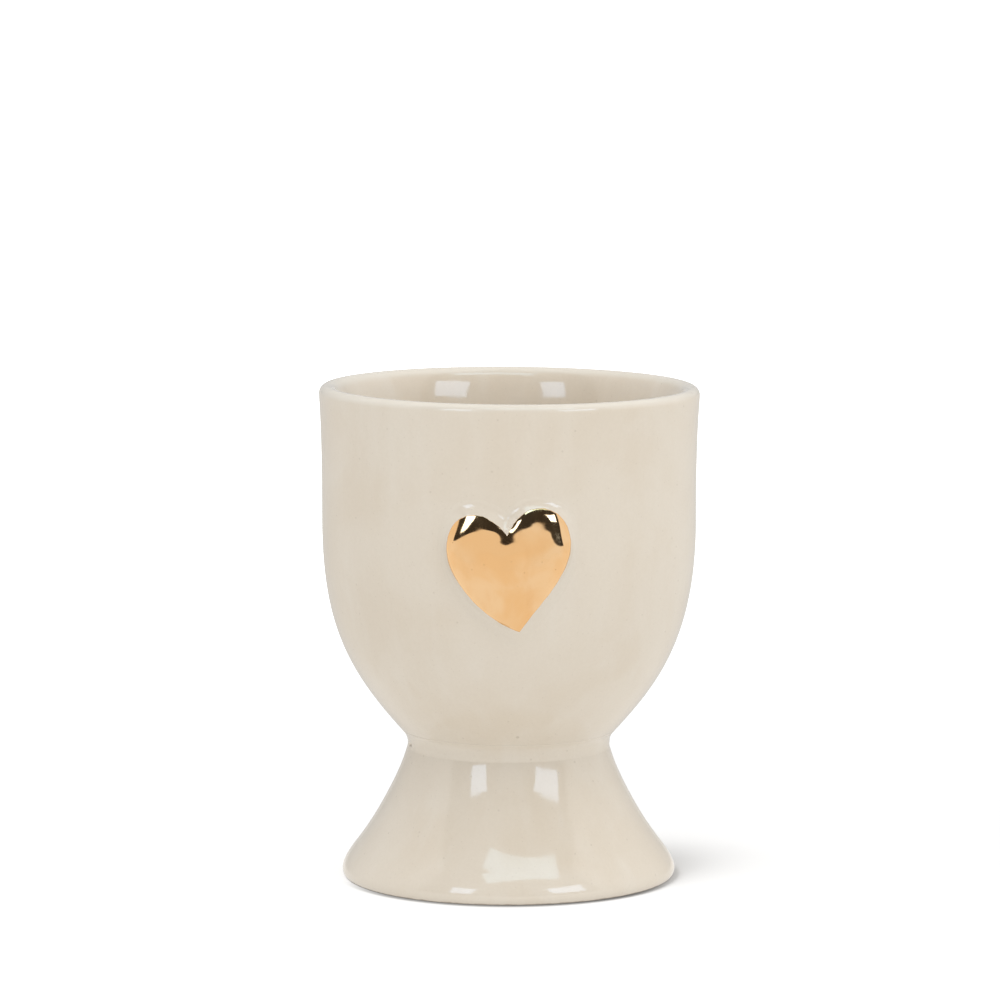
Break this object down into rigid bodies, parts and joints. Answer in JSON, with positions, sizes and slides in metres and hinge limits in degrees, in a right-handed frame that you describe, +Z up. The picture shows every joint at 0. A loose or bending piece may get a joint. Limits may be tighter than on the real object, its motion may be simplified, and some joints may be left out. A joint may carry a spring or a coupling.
{
  "type": "egg cup",
  "caption": "Footed ceramic egg cup: U-shaped bowl luted to a flared hollow foot, with a raised, gilded heart on the front of the bowl.",
  "frame": {"origin": "centre of the foot, on the table", "axes": "+Z up the cup's axis, the heart faces -Y, +X to the right as the heart is seen"},
  "size_m": [0.05, 0.0517, 0.0652],
  "materials": {
    "cream_glaze": "glossy transparent glaze over cream clay, with fine specks",
    "foot_glaze": "glossy transparent glaze over cream clay, wiped off the ring it stands on, where the fired clay is bare and matt",
    "slip_glaze": "glossy glaze, pooled a little darker in the crease of the waist",
    "relief_glaze": "glossy transparent glaze over cream clay",
    "gold_lustre": "polished, slightly rosy gold lustre fired on the glaze"
  },
  "bodies": {
    "root": {"bowl": "cream_glaze", "foot": "foot_glaze", "luting_slip": "slip_glaze", "heart_relief": "relief_glaze", "heart_gilding": "gold_lustre"}
  },
  "joints": []
}
